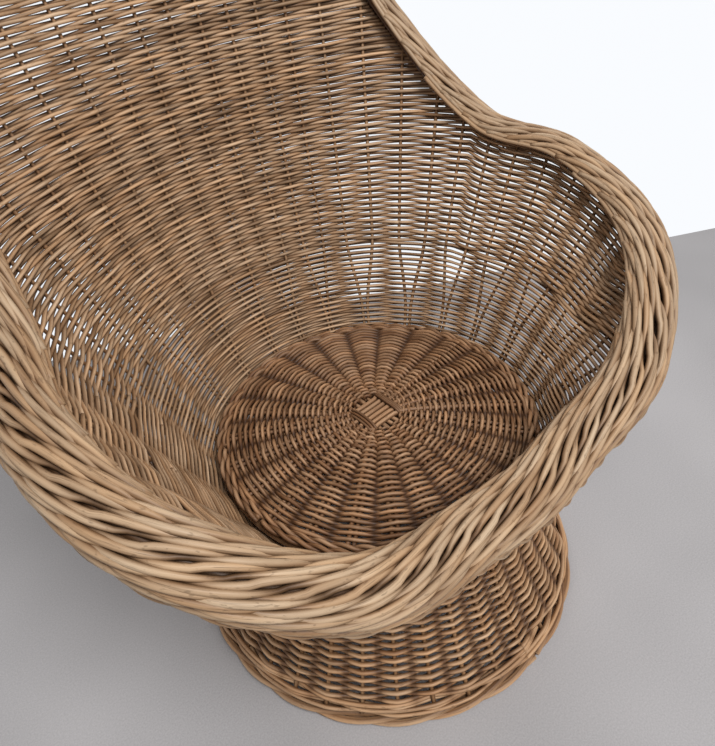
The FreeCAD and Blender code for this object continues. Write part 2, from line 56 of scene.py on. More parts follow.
# Wall of the tub: reach from the seat axis and height of its edge, from front to back
STATIONS = np.array((0.0, 22.0, 45.0, 67.0, 90.0, 112.0, 135.0, 148.0, 162.0, 180.0))
EDGE_REACH = np.array((0.253, 0.265, 0.332, 0.380, 0.387, 0.384, 0.443, 0.491, 0.489, 0.480))
EDGE_HEIGHT = np.array((0.357, 0.363, 0.401, 0.485, 0.541, 0.569, 0.717, 0.922, 1.036, 1.068))
WAIST = (0.205, 0.213)
SEAT_RING = (0.250, 0.300)
FRONT_FLARE = 20.0
REAR_FLARE = 30.0
EDGE_LEAN = 26.0
CURVE_PULL = 0.36
ANGLE_STEP = 0.25
LEVEL_STEP = 0.001
HALVINGS = 22

# Upright rods of the wall: in close pairs at the seat, and how far each stands off even spacing
STAKE_COUNT = 48
STAKE_LEVELS = (0.02, 1.995, 44)
STAKE_GROUPS = (
    ("front_stakes", 0.0, 56.0),
    ("arm_stakes", 56.0, 112.0),
    ("back_stakes", 112.0, 181.0),
)
PAIR_GAP = 0.0036
STAKE_DRIFT = (
    (0.0, 100.0, 124.0, 150.0, 188.0, 206.0, 262.0, 360.0),
    (0.0, 0.0, -3.0, -1.0, -8.0, -8.0, -2.0, 0.0),
)

# Rows of the wall: how they come down along the arm's border, where they are thin and how they tilt
ARM_TOP = 0.569
ARM_FOOT = 0.485
DIP_START = 0.33
DIP_SHARE = 0.85
LOOSE_SIDE = 112.0
LOOSE_SPREAD = 36.0
LOOSE_DEPTH = 0.10
ROW_TILT = (
    (0.0, 85.0, 112.0, 135.0, 152.0, 180.0, 195.0, 215.0, 240.0),
    (0.0, 0.0007, 0.0010, 0.0008, 0.0, -0.0007, -0.0010, -0.0006, 0.0),
)
ROW_WANDER = 0.00022
ROW_MARGIN = 1.0
BELT_ROWS = 4
BELT_HALF = 0.008
BOWL_START = 0.2155
BOWL_ROOM = 0.0030
BOWL_END_ROOM = 0.0038
TOP_ROOM = 0.004

# Foot: middle of its skirt at both ends, its ropes, uprights and rows
SKIRT_TOP = (0.205, 0.205)
SKIRT_FOOT = (0.286, 0.020)
SKIRT_RADIUS = 0.620
SLOPE_STEP = 0.005
FLOOR_RING = (0.286, 0.010)
FLOOR_ROPE = Rope(width=0.0066, height=0.0042, radius=0.0047, count=3, pitch=46.0, samples=22)
WAIST_RING = (0.205, 0.205)
WAIST_ROPE = Rope(width=0.0072, height=0.0050, radius=0.0034, count=4, pitch=30.0, samples=14)
FOOT_STAKES = 36
FOOT_STAKE = 0.0031
FOOT_STAKE_SPAN = (0.021, 0.204, 14)
FOOT_KNOTS = np.linspace(0.0, 360.0, FOOT_STAKES + 1)
FOOT_ROWS = (0.0395, 0.195)
FLOAT_PATTERN = np.array((1.0, 1.0, 1.0, -1.0))
# Outer and inner floating rows: side, first place in the pattern, heights, swing and rod
FLOAT_ROWS = (
    (1, 0, (0.0225, 0.0285, 0.0345), 0.0056, 0.0031),
    (-1, 2, (0.0255, 0.0315), 0.0052, 0.0029),
)

# Seat disc with its sticks, and the hoop under it
DISC_RADIUS = 0.2239
DISC_MIDDLE = 0.2925
DISC_DOME = 0.016
DISC_START = 0.0350
DISC_JOINT = 0.208
DISC_TIGHT = 0.058
DISC_PAIRED = 0.05
DISC_WANDER = 0.0005
DISC_TURN = 97.5
DISC_ROPE = Rope(width=0.0036, height=0.0022, radius=0.0031, count=2, pitch=15.0, samples=12)
DISC_ROPE_RINGS = (0.2112, 0.2190)
DISC_ROPE_SHIFT = 37.0
RIB_COUNT = 24
RIB_STEP = 360.0 / RIB_COUNT
RIB_HALF = 0.0038
RIB_REACH = 0.212
RIB_START = 0.042
RIB_POINTS = 20
CROSS_HALF = 0.024
CROSS_STICKS = 6
STICK_STEP = 0.008
STICK_POINTS = 40
STICK_TONE = (0.22, 0.12)
TIE_REACH = 0.026
TIE_PLACE = 0.0205
TIE_STEP = 0.0038
TIE_LIFT = 0.0094
TIE_FALL = 0.0016
TIE_BEND = 0.0016
TIE_DROOP = 0.006
TIE_ROD = 0.0021
TIE_POINTS = 12
HOOP_RING = (0.2129, 0.2752)
HOOP_ROD = 0.0078

# Plaited border: the powers that square its arch, the course of its strands and its inner core
ARCH_ACROSS = 0.72
ARCH_UP = 0.62
ARCH_STEP = 0.01
BORDER_MIDDLE = 0.018
BORDER_STEPS = 1441
STRAND_SHARES = (-0.03, 0.985, 54)
STRAND_BEAT = 0.19
LIP_POINTS = 110
CORE_ROD = 0.0068
CORE_SHARES = (0.06, 0.94, 9)
CORE_DEPTH = (0.015, 0.016)
CORE_POINTS = 220
TURN_SWEEP = 13.0
TURN_WALL = 0.012
TURN_POINTS = 16

# Chance: mean and spread of the rods' tones, then ranges of their thickness and length
TONE = (0.5, 0.28)
STROKE_TONE = 0.18
ROD_SPREAD = (0.9, 1.1)
FINE_SPREAD = (0.95, 1.05)
LENGTH_SPREAD = (0.8, 1.2)
FIRST_LENGTH = (0.3, 1.0)
GRAIN_SHIFT = 40.0

# Painted shade: share of light that a rod's colour loses on its flanks, where it dives behind an
# upright, and the width of the painted shade midway between uprights
FLANK_SHADE = 0.78
DIVE_SHADE = 0.8
HOLLOW_WIDTH = 0.42

# Willow: how often its patterns repeat along and across a rod, a warm tint, and a tint for painted
# shade
STREAKS = (22.0, 800.0, 800.0)
CLOUDS = (12.0, 70.0, 70.0)
WARMTH = (5.0, 30.0, 30.0)
SPECKS = (120.0, 380.0, 380.0)
WARM_TINT = (1.0, 0.80, 0.58, 1.0)
SHADE_TINT = (0.50, 0.36, 0.24, 1.0)

# Flat layout of the rods' skins: margins of a shelf, of a rod on it and of a rod's end
SHELF_LEFT = 0.01
SHELF_WIDTH = 0.97
ROD_LOW = 0.08
ROD_HEIGHT = 0.84
ROD_GAP = 0.004
END_SHARE = 0.4

# Stage: the line where the photographed floor meets the wall, and the lamps
FLOOR_ALONG = Vector((0.8804, -0.4742, 0.0))
FLOOR_BACK = Vector((0.4742, 0.8804, 0.0))
FLOOR_CORNERS = ((-4, 0.715), (-4, -5), (4, -5), (4, 0.715))
LAMP_AIM = Vector((0.0, 0.0, 0.4))
LAMPS = (("key_lamp", (-0.2, -1.7, 2.6), 1.2, 1.0), ("fill_lamp", (1.5, 2.1, 2.3), 1.6, 0.35))


# Surfaces that the rods follow


def along_stations(values, angle):
    """Cubic curve through the station values, alike on both sides of the chair."""
    turn = np.abs((angle + 180.0) % 360.0 - 180.0)
    slopes = np.zeros(len(values))
    slopes[1:-1] = (values[2:] - values[:-2]) / (STATIONS[2:] - STATIONS[:-2])
    index = np.clip(np.searchsorted(STATIONS, turn) - 1, 0, len(values) - 2)
    span = STATIONS[index + 1] - STATIONS[index]
    p = (turn - STATIONS[index]) / span
    first = values[index] * (1 + 2 * p) * (1 - p) ** 2
    last = values[index + 1] * (3 - 2 * p) * p**2
    leave = slopes[index] * span * p * (1 - p) ** 2
    arrive = slopes[index + 1] * span * p**2 * (p - 1)
    return first + last + leave + arrive


def bezier(start, start_lean, end, end_lean, p):
    """Radius and height on a cubic that leaves and arrives at given leans."""
    reach = CURVE_PULL * np.hypot(end[0] - start[0], end[1] - start[1])
    leave = (start[0] + reach * np.sin(start_lean), start[1] + reach * np.cos(start_lean))
    arrive = (end[0] - reach * np.sin(end_lean), end[1] - reach * np.cos(end_lean))
    weights = ((1 - p) ** 3, 3 * p * (1 - p) ** 2, 3 * p**2 * (1 - p), p**3)
    points = (start, leave, arrive, end)
    return [sum(w * point[axis] for w, point in zip(weights, points)) for axis in (0, 1)]


def wall_middle(angle, level):
    """Radius and height of the wall: level 0 at the waist, 1 at the seat, 2 at the border."""
    side = (REAR_FLARE + FRONT_FLARE) / 2
    swing = (REAR_FLARE - FRONT_FLARE) / 2
    flare = np.radians(side - swing * np.cos(np.radians(angle)))
    edge = (along_stations(EDGE_REACH, angle), along_stations(EDGE_HEIGHT, angle))
    lower = bezier(WAIST, 0.0, SEAT_RING, flare, np.clip(level, 0, 1))
    upper = bezier(SEAT_RING, flare, edge, math.radians(EDGE_LEAN), np.clip(level - 1, 0, 1))
    return [np.where(level <= 1, low, high) for low, high in zip(lower, upper)]


def polar(angle, radius, height):
    """Points at angles from the front, positive towards +X."""
    turn = np.radians(angle)
    return np.stack(np.broadcast_arrays(radius * np.sin(turn), -radius * np.cos(turn), height), -1)


def unit(vectors):
    """Vectors of length one."""
    return vectors / np.maximum(np.linalg.norm(vectors, axis=-1, keepdims=True), 1e-9)


def wall_frame(angle, level):
    """Middle of the wall with its outward and along directions."""
    ahead = polar(angle + ANGLE_STEP, *wall_middle(angle + ANGLE_STEP, level))
    behind = polar(angle - ANGLE_STEP, *wall_middle(angle - ANGLE_STEP, level))
    along = unit(ahead - behind)
    above = polar(angle, *wall_middle(angle, np.minimum(level + LEVEL_STEP, 2.0)))
    below = polar(angle, *wall_middle(angle, np.maximum(level - LEVEL_STEP, 0.0)))
    return polar(angle, *wall_middle(angle, level)), unit(np.cross(along, above - below)), along


def level_at(angle, height):
    """Level at which the wall reaches a height."""
    low = np.zeros(np.shape(angle))
    high = low + 2.0
    for _ in range(HALVINGS):
        middle = (low + high) / 2
        under = wall_middle(angle, middle)[1] < height
        low = np.where(under, middle, low)
        high = np.where(under, high, middle)
    return low


def dip_share(height):
    """Share of the border's fall that a row takes, growing from the seat up to the arm."""
    return DIP_SHARE * min(1.0, max(0.0, (height - DIP_START) / (ARM_TOP - DIP_START)))


def wall_row(height):
    """Surface for one row of the wall, level except where it comes down along the arm's border."""

    def place(angle, lift, offset):
        fall = np.clip(along_stations(EDGE_HEIGHT, angle), ARM_FOOT, ARM_TOP) - ARM_TOP
        level = level_at(angle, height + lift + dip_share(height) * fall)
        middle, outward, _ = wall_frame(angle, level)
        return middle + outward * offset[:, None], outward

    return place


def skirt_radius(height):
    """Mid radius of the foot's skirt."""
    chord = math.hypot(SKIRT_TOP[0] - SKIRT_FOOT[0], SKIRT_TOP[1] - SKIRT_FOOT[1])
    middle = ((SKIRT_TOP[0] + SKIRT_FOOT[0]) / 2, (SKIRT_TOP[1] + SKIRT_FOOT[1]) / 2)
    away = math.sqrt(SKIRT_RADIUS**2 - chord**2 / 4)
    across = ((SKIRT_TOP[1] - SKIRT_FOOT[1]) / chord, (SKIRT_FOOT[0] - SKIRT_TOP[0]) / chord)
    centre = (middle[0] + away * across[0], middle[1] + away * across[1])
    return centre[0] - np.sqrt(SKIRT_RADIUS**2 - (height - centre[1]) ** 2)


def skirt_row(height):
    """Surface for one level row of the foot."""

    def place(angle, lift, offset):
        level = height + lift
        slope = (skirt_radius(level + LEVEL_STEP) - skirt_radius(level)) / LEVEL_STEP
        length = np.sqrt(1 + slope**2)
        outward = polar(angle, 1 / length, -slope / length)
        return polar(angle, skirt_radius(level), level) + outward * offset[:, None], outward

    return place


def ring_row(radius, height):
    """Surface for a level ring."""

    def place(angle, lift, offset):
        return polar(angle, radius + offset, height + lift), polar(angle, 1.0, 0.0)

    return place


def disc_height(radius):
    """Height of the disc's middle layer."""
    return DISC_MIDDLE + DISC_DOME * (1 - (radius / DISC_RADIUS) ** 2)


def disc_row(radius):
    """Surface for one round of the seat disc."""

    def place(angle, lift, offset):
        reach = radius + lift
        outward = unit(polar(angle, 2 * DISC_DOME * reach / DISC_RADIUS**2, 1.0))
        return polar(angle, reach, disc_height(reach)) + outward * offset[:, None], outward

    return place


def run_along(points):
    """Length of a path from its start to each of its points."""
    return np.concatenate(((0.0,), np.cumsum(np.linalg.norm(np.diff(points, axis=0), axis=1))))


def smooth_path(points, rounds=3):
    """Path that rounds off the corners between points and keeps its ends."""
    for _ in range(rounds):
        first = points[:-1] * 0.75 + points[1:] * 0.25
        last = points[:-1] * 0.25 + points[1:] * 0.75
        inner = np.stack((first, last), 1).reshape(-1, 3)
        points = np.concatenate((points[:1], inner[1:-1], points[-1:]))
    return points


def resample(points, count):
    """Evenly spaced points along a path."""
    run = run_along(points)
    steps = np.linspace(0, run[-1], count)
    return np.stack([np.interp(steps, run, points[:, axis]) for axis in range(3)], -1)


def linked(name, data):
    """Object in the scene that shows a mesh, lamp or camera."""
    holder = bpy.data.objects.new(name, data)
    bpy.context.scene.collection.objects.link(holder)
    return holder


# Rods and woven rows


class Strands:
    """Mesh of many round rods, collected one rod at a time."""

    def __init__(self, sides, seed):
        self.sides = sides
        self.luck = np.random.default_rng(seed)
        self.places = []
        self.fields = {"tone": [], "lit_share": [], "grain": []}
        self.rods = []
        self.run = 0.0

    def add(self, points, outward, radii, lit_share=1.0, tone=None, dive=0.0):
        """One rod along points, whose section starts at the outward side."""
        count = len(points)
        radii, lit_share, dive = (np.broadcast_to(value, (count,)) for value in (radii, lit_share, dive))
        along = unit(np.gradient(points, axis=0))
        normal = unit(outward - along * np.sum(outward * along, axis=1, keepdims=True))
        side = np.cross(along, normal)
        turn = 2 * np.pi * np.arange(self.sides) / self.sides
        out, aside = np.cos(turn), np.sin(turn)
        ring = out[None, :, None] * normal[:, None] + aside[None, :, None] * side[:, None]
        self.places.append((points[:, None] + ring * radii[:, None, None]).reshape(-1, 3))
        run = run_along(points)
        if tone is None:
            tone = np.clip(self.luck.normal(*TONE), 0, 1)
        self.fields["tone"].append(np.repeat(np.broadcast_to(tone, (count,)), self.sides))
        # Painted shade: the lit share darkens the rod's colour on its flanks, where it dives behind
        # an upright, and by the share the caller gives
        flank = 1 - FLANK_SHADE * np.abs(aside) ** 2
        hidden = np.clip(-dive[:, None] * out, 0, 1)
        self.fields["lit_share"].append((lit_share[:, None] * flank * (1 - hidden)).ravel())
        shift = self.luck.uniform(0, GRAIN_SHIFT, 3)
        grain = np.zeros((count, self.sides, 3))
        grain[:, :, 0] = (run + shift[0])[:, None]
        grain[:, :, 1] = out * np.mean(radii) + shift[1]
        grain[:, :, 2] = aside * np.mean(radii) + shift[2]
        self.fields["grain"].append(grain.reshape(-1, 3))
        self.rods.append((count, self.run + run, float(np.mean(radii))))
        self.run += run[-1] + ROD_GAP

    def strip_map(self):
        """Flat layout in which the rods lie end to end on shelves, for later texture baking."""
        total = len(self.rods)
        girth = 2 * math.pi * max(radius for _, _, radius in self.rods)
        shelves = max(1, math.ceil(math.sqrt(self.run / girth)))
        width = self.run / shelves
        depth = 1.0 / (shelves + 1)
        maps = []
        turn = np.arange(self.sides)
        for _, run, _ in self.rods:
            start = run[:-1]
            shelf = np.minimum(np.floor(start / width), shelves - 1)
            left = (start - shelf * width) / width * SHELF_WIDTH + SHELF_LEFT
            right = left + np.diff(run) / width * SHELF_WIDTH
            low = (shelf[:, None] + ROD_LOW + ROD_HEIGHT * turn[None, :] / self.sides) * depth
            high = low + ROD_HEIGHT / self.sides * depth
            left, right, low, high = np.broadcast_arrays(left[:, None], right[:, None], low, high)
            corners = np.stack((left, low, left, high, right, high, right, low), -1)
            maps.append(corners.reshape(-1, 2))
        centre = (np.arange(2 * total) + 0.5)[:, None] / (2 * total)
        spin = 2 * np.pi * turn / self.sides
        reach = END_SHARE * min(depth, 0.5 / total)
        ends = (centre + reach * np.cos(spin), 1 - depth / 2 + reach * np.sin(spin))
        return np.concatenate((*maps, np.stack(np.broadcast_arrays(*ends), -1).reshape(-1, 2)))

    def build(self, name, slot, *nodes):
        """Piece made of all collected rods, which stands for nodes of the model."""
        quads = []
        caps = []
        start = 0
        turn = np.arange(self.sides)
        following = (turn + 1) % self.sides
        for count, _, _ in self.rods:
            first = start + np.arange(count - 1)[:, None] * self.sides
            near, far = first + turn, first + following
            corners = np.stack((near, far, far + self.sides, near + self.sides), -1)
            quads.append(corners.reshape(-1, 4))
            caps.append((start + turn[::-1]).tolist())
            caps.append((start + (count - 1) * self.sides + turn).tolist())
            start += count * self.sides
        faces = np.concatenate(quads).tolist() + caps
        mesh = bpy.data.meshes.new(name)
        mesh.from_pydata(np.concatenate(self.places).tolist(), [], faces)
        mesh.polygons.foreach_set("use_smooth", np.ones(len(mesh.polygons), dtype=bool))
        for field, kind, key in (
            ("tone", "FLOAT", "value"),
            ("lit_share", "FLOAT", "value"),
            ("grain", "FLOAT_VECTOR", "vector"),
        ):
            values = np.concatenate(self.fields[field]).astype(np.float32).ravel()
            mesh.attributes.new(field, kind, "POINT").data.foreach_set(key, values)
        layout = mesh.uv_layers.new(name="OFBake")
        layout.data.foreach_set("uv", self.strip_map().astype(np.float32).ravel())
        mesh.materials.append(finish_of(slot))
        mesh.update()
        piece = linked(name, mesh)
        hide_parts(*nodes)
        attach(piece, BODY)


def closed(values):
    """Values of a ring, with the first again at the end."""
    return np.append(values, values[0])


def alternate(count, row):
    """Sides of the uprights that a row passes: outer (1) and inner (-1) by turns."""
    return np.where((np.arange(count) + row) % 2 == 0, 1.0, -1.0)


def weave_row(
    strands, place, knots, sides, swing, radius, samples, hollow_shade, wall=False, wander=ROW_WANDER
):
    """Row of rods end to end that passes the outer (1) or inner (-1) side of each upright.

    The swing is its distance from the wall's middle there; how much painted shade darkens it in
    between is given as a share.
    """
    luck = strands.luck
    share = np.arange(samples) / samples
    ease = 0.5 * share + 0.25 * (1 - np.cos(np.pi * share))
    angle = np.append((knots[:-1, None] + np.diff(knots)[:, None] * share).ravel(), knots[-1])
    offset = np.append((sides[:-1, None] + np.diff(sides)[:, None] * ease).ravel(), sides[-1])
    wave = np.interp(angle, knots, luck.normal(0, wander, len(knots)))
    slack = np.ones(len(angle))
    dive = np.zeros(len(angle))
    if wall:
        wave = wave + offset * np.interp(angle, *ROW_TILT)
        slack = slack - LOOSE_DEPTH * np.exp(-(((angle - LOOSE_SIDE) / LOOSE_SPREAD) ** 2))
        # Painted shade where the row passes behind an upright
        dive = DIVE_SHADE * offset
    points, outward = place(angle, wave, offset * swing)
    # Painted shade midway between uprights, where the row crosses the wall's middle
    lit_share = 1 - hollow_shade * np.exp(-((offset / HOLLOW_WIDTH) ** 2))
    stroke = np.interp(angle, knots, luck.normal(0, STROKE_TONE, len(knots)))
    step = max(np.mean(np.linalg.norm(np.diff(points[::samples], axis=0), axis=1)), 0.004)
    first = 0
    last = len(knots) - 1
    reach = luck.uniform(*FIRST_LENGTH)
    while first < last:
        stop = first + max(3, int(reach * luck.uniform(*LENGTH_SPREAD) / step))
        while stop < last and sides[stop] > 0:
            stop += 1
        stop = last if stop > last - 3 else stop
        part = slice(first * samples, stop * samples + 1)
        taper = np.linspace(1.05, 0.95, (stop - first) * samples + 1)
        thick = radius * luck.uniform(*FINE_SPREAD) * taper * slack[part]
        tone = np.clip(luck.normal(*TONE) + stroke[part], 0, 1)
        strands.add(points[part], outward[part], thick, lit_share[part], tone, dive[part])
        first = stop
        reach = 1.0


def rope_ring(strands, place, rope, start, parts, gap):
    """Ring of bands that lie end to end, each of rods twisted round each other."""
    span = 360.0 / parts
    length = span - gap
    for part in range(parts):
        first = start + part * span
        steps = np.linspace(first, first + length, rope.samples * int(length / rope.pitch) + 1)
        for number in range(rope.count):
            phase = 2 * np.pi * (steps / rope.pitch + number / rope.count)
            points, outward = place(steps, rope.height * np.sin(phase), rope.width * np.cos(phase))
            # Painted shade on each rod where the twist takes it to the band's inner side
            strands.add(points, outward, rope.radius, 0.45 + 0.55 * np.clip(np.cos(phase), 0, 1))


# Finishes


class Signal:
    """Output of a shader node that Python's arithmetic extends with Math nodes."""

    def __init__(self, finish, socket):
        self.finish = finish
        self.socket = socket

    def math(self, operation, first, second):
        return self.finish.make("ShaderNodeMath", {0: first, 1: second}, {"operation": operation})

    def __add__(self, other):
        return self.math("ADD", self, other)

    def __mul__(self, other):
        return self.math("MULTIPLY", self, other)

    def __pow__(self, other):
        return self.math("POWER", self, other)

    def __rsub__(self, other):
        return self.math("SUBTRACT", other, self)

    __radd__ = __add__


class Finish:
    """Nodes of a new material or world."""

    def __init__(self, kind, name):
        self.owner = kind.new(name)
        self.owner.use_nodes = True
        self.tree = self.owner.node_tree
        self.tree.nodes.clear()

    def make(self, kind, sockets=None, settings=None, output=0):
        """Node of a type with its settings, then values or links for its sockets."""
        node = self.tree.nodes.new(kind)
        for name, value in (settings or {}).items():
            setattr(node, name, value)
        for key, value in (sockets or {}).items():
            if isinstance(value, Signal):
                self.tree.links.new(value.socket, node.inputs[key])
            else:
                node.inputs[key].default_value = value
        return Signal(self, node.outputs[output]) if len(node.outputs) else node

    def field(self, name, output="Fac"):
        """Value that each rod carries."""
        return self.make("ShaderNodeAttribute", settings={"attribute_name": name}, output=output)

    def mixed(self, factor, first, second, blend="MIX"):
        """Colour between two colours."""
        settings = {"data_type": "RGBA", "blend_type": blend}
        return self.make("ShaderNodeMix", {0: factor, 6: first, 7: second}, settings, 2)

    def noise(self, vector, scale, detail=3.0, roughness=0.55):
        """Soft noise between 0 and 1."""
        sockets = {"Vector": vector, "Scale": scale, "Detail": detail, "Roughness": roughness}
        return self.make("ShaderNodeTexNoise", sockets)

    def stretched(self, vector, scale, detail=3.0, roughness=0.55):
        """Soft noise that repeats at its own rate along each axis."""
        scaled = self.make("ShaderNodeVectorMath", {0: vector, 1: scale}, {"operation": "MULTIPLY"})
        return self.noise(scaled, 1.0, detail, roughness)

    def ranged(self, value, low, high):
        """Value brought from low to high into 0 to 1."""
        sockets = {"Value": value, "From Min": low, "From Max": high}
        return self.make("ShaderNodeMapRange", sockets, {"clamp": True})

    def bumpy(self, strength, distance, height):
        """Normal of a surface with fine relief."""
        sockets = {"Strength": strength, "Distance": distance, "Height": height}
        return self.make("ShaderNodeBump", sockets)

    def surface(self, sockets):
        """Material whose surface has these values."""
        shader = self.make("ShaderNodeBsdfPrincipled", sockets)
        self.make("ShaderNodeOutputMaterial", {"Surface": shader})
        return self.owner


def opaque(colour):
    """Colour with full alpha."""
    return (*colour, 1.0)


def willow(name, pale, deep, marks_and_shade):
    """Finish of varnished willow rods: a tone for each rod, grain along it, dark streaks and scars,
    and painted shade on flanks and in recesses.
    """
    finish = Finish(bpy.data.materials, name)
    tone = finish.field("tone")
    lit_share = finish.field("lit_share")
    grain = finish.field("grain", "Vector")
    streaks = finish.stretched(grain, STREAKS, 4.0, 0.62)
    clouds = finish.stretched(grain, CLOUDS)
    warmth = finish.stretched(grain, WARMTH, 2.0)
    specks = finish.stretched(grain, SPECKS, 2.0, 0.5)
    knots = finish.ranged(specks, 0.63, 0.71)
    shade = finish.ranged(tone * 0.75 + clouds * 1.5 + streaks * 0.7, 0.95, 2.05)
    body = finish.mixed(shade, opaque(pale), opaque(deep))
    body = finish.mixed(finish.ranged(warmth, 0.42, 0.62) * 0.5, body, WARM_TINT, "MULTIPLY")
    body = finish.mixed(finish.ranged(streaks, 0.56, 0.70) * 0.55, body, opaque(marks_and_shade))
    body = finish.mixed(knots * 0.35, body, opaque(marks_and_shade))
    # Painted shade: where the lit share is low, the colour turns browner and then dark, on flanks,
    # between uprights and behind them
    edge = 1 - finish.ranged(lit_share, 0.08, 0.85)
    body = finish.mixed(edge * 0.9, body, SHADE_TINT, "MULTIPLY")
    body = finish.mixed(edge**2 * 0.8, body, opaque(marks_and_shade))
    sockets = {
        "Base Color": body,
        "Roughness": 0.45 + streaks * 0.2 + knots * 0.15,
        "Normal": finish.bumpy(0.35, 0.0006, streaks * 0.7 + specks * 0.3),
        "Specular IOR Level": 0.32,
        "Coat Weight": 0.05,
        "Coat Roughness": 0.3,
    }
    return finish.surface(sockets)


def finish_of(slot):
    """Material of a slot of the record, made once."""
    name = f"woven_{slot}"
    if name in bpy.data.materials:
        return bpy.data.materials[name]
    hues = bpy.context.scene.chair_colours
    part = slot.removesuffix("_willow")
    pale, deep = (getattr(hues, f"{part}_{tone}") for tone in ("pale", "deep"))
    return willow(name, pale, deep, hues.marks_and_shade)


# Sizes and colours that a user may change


def length(name, value, text, top=0.1):
    """Length in metres for a sidebar field."""
    return FloatProperty(
        name=name, description=text, default=value, min=0.0001, max=top, unit="LENGTH", precision=4
    )


def number(name, value, text, least, most):
    """Whole number for a sidebar field."""
    return IntProperty(name=name, description=text, default=value, min=least, max=most)


def tilt(name, value, text):
    """Angle for a sidebar field, given in degrees."""
    return FloatProperty(name=name, description=text, default=math.radians(value), subtype="ANGLE")


def hue(name, value, text):
    """Colour for a sidebar field."""
    return FloatVectorProperty(
        name=name, description=text, default=value, subtype="COLOR", size=3, min=0.0, max=1.0
    )


class ChairWeave(bpy.types.PropertyGroup):
    """Rod sizes and spacings of the woven parts."""

    fine_rod: length("Fine rod", 0.0024, "Radius of the weavers below the belt")
    fine_pitch: length("Fine pitch", 0.0040, "Step between rows below the belt")
    wall_rod: length("Wall rod", 0.0028, "Radius of the weavers above the belt")
    wall_pitch: length("Wall pitch", 0.0046, "Step between rows above the belt")
    foot_rod: length("Foot rod", 0.0032, "Radius of the weavers in the foot")
    foot_pitch: length("Foot pitch", 0.0062, "Step between rows in the foot")
    seat_rod: length("Seat rod", 0.0027, "Radius of the weavers in the seat")
    seat_pitch: length("Seat pitch", 0.0041, "Step between rounds in the seat")
    stake: length("Stake", 0.0025, "Radius of the upright rods")
    rib: length("Rib", 0.0032, "Radius of the sticks in the seat")
    belt: length("Belt", 0.415, "Height of the tight belt of rows", 1.0)
    split: length("Wing height", 0.604, "Height where the back grows out of the arms", 1.0)


class ChairBorder(bpy.types.PropertyGroup):
    """Sizes of the plaited border."""

    half_width: length("Half width", 0.034, "Half the width of the border")
    rise: length("Rise", 0.030, "Thickness of the border")
    outset: length("Outset", 0.002, "How far the border sits outside the wall's middle")
    strand: length("Strand", 0.0040, "Radius of a border strand")
    dive: length("Dive", 0.0034, "How far a strand dips under its neighbours")
    sweep: length("Sweep", 0.476, "Length along the border from a strand's start to its end", 2.0)
    turn: length("Turned rod", 0.0040, "Radius of a rod that turns round the lip")
    lays: number("Lays", 24, "Visible parts of the strands round the border", 3, 90)
    strands: number("Strands", 132, "Strands round the border", 9, 240)


class ChairColours(bpy.types.PropertyGroup):
    """Colours of the willow and of the stage."""

    rim_pale: hue("Border, pale", (0.54, 0.395, 0.26), "Light rods of the border")
    rim_deep: hue("Border, deep", (0.31, 0.195, 0.11), "Dark rods of the border")
    shell_pale: hue("Wall, pale", (0.68, 0.475, 0.305), "Light rods of the wall")
    shell_deep: hue("Wall, deep", (0.22, 0.13, 0.068), "Dark rods of the wall")
    foot_pale: hue("Foot, pale", (0.66, 0.44, 0.265), "Light rods of the foot")
    foot_deep: hue("Foot, deep", (0.33, 0.185, 0.095), "Dark rods of the foot")
    seat_pale: hue("Seat, pale", (0.52, 0.32, 0.185), "Light rods of the seat")
    seat_deep: hue("Seat, deep", (0.17, 0.082, 0.036), "Dark rods of the seat")
    stake_pale: hue("Stakes, pale", (0.40, 0.25, 0.14), "Light upright rods")
    stake_deep: hue("Stakes, deep", (0.21, 0.115, 0.055), "Dark upright rods")
    # Dark colour of streaks and scars, also used for painted shade in recesses between rods
    marks_and_shade: hue("Grooves", (0.034, 0.015, 0.006), "Deep grooves and scars")
    floor: hue("Floor", (0.41, 0.395, 0.40), "Plain floor")
    backdrop: hue("Backdrop", (0.95, 0.97, 1.0), "Plain background")


class ChairStage(bpy.types.PropertyGroup):
    """Camera and light."""

    focal: FloatProperty(
        name="Focal length", description="Camera lens", default=34.69, subtype="DISTANCE_CAMERA"
    )
    azimuth: tilt("Azimuth", 38.29, "Direction the camera looks in, from +Y to +X")
    pitch: tilt("Pitch", 40.78, "Camera tilt downwards")
    roll: tilt("Roll", -5.546, "Camera roll")
    place: FloatVectorProperty(
        name="Place",
        description="Camera position",
        default=(-0.4407, -0.5264, 0.9782),
        subtype="TRANSLATION",
        unit="LENGTH",
    )
    key: FloatProperty(
        name="Key light", description="Power of the large lamp overhead", default=70.0, unit="POWER"
    )
    sky: FloatProperty(name="Sky", description="Strength of the light from all round", default=0.36)


# Courses of the rows


def stake_angles(height, belt):
    """Angles of the wall's uprights: in pairs at the seat and evenly spaced from the belt up."""
    spacing = 360.0 / STAKE_COUNT
    pair = np.repeat(np.arange(STAKE_COUNT // 2) * 2 * spacing + spacing, 2)
    side = np.tile((-1.0, 1.0), STAKE_COUNT // 2)
    share = np.clip((np.asarray(height)[..., None] - SEAT_RING[1]) / (belt - SEAT_RING[1]), 0, 1)
    share = share * share * (3 - 2 * share)
    close = math.degrees(PAIR_GAP / SEAT_RING[0])
    angles = pair + side * (close + (spacing / 2 - close) * share)
    return angles + np.interp(angles, *STAKE_DRIFT)


def edge_angle(height):
    """Angle from the front where the wall's edge reaches a height."""
    angles = np.linspace(0.0, 180.0, 721)
    return float(np.interp(height, along_stations(EDGE_HEIGHT, angles), angles))


def row_end(height):
    """Height of the wall's edge above the place where a row ends."""
    if height >= ARM_TOP:
        return height
    share = dip_share(height)
    end = (height - share * ARM_TOP) / (1 - share)
    return end if end >= ARM_FOOT else height - share * (ARM_TOP - ARM_FOOT)


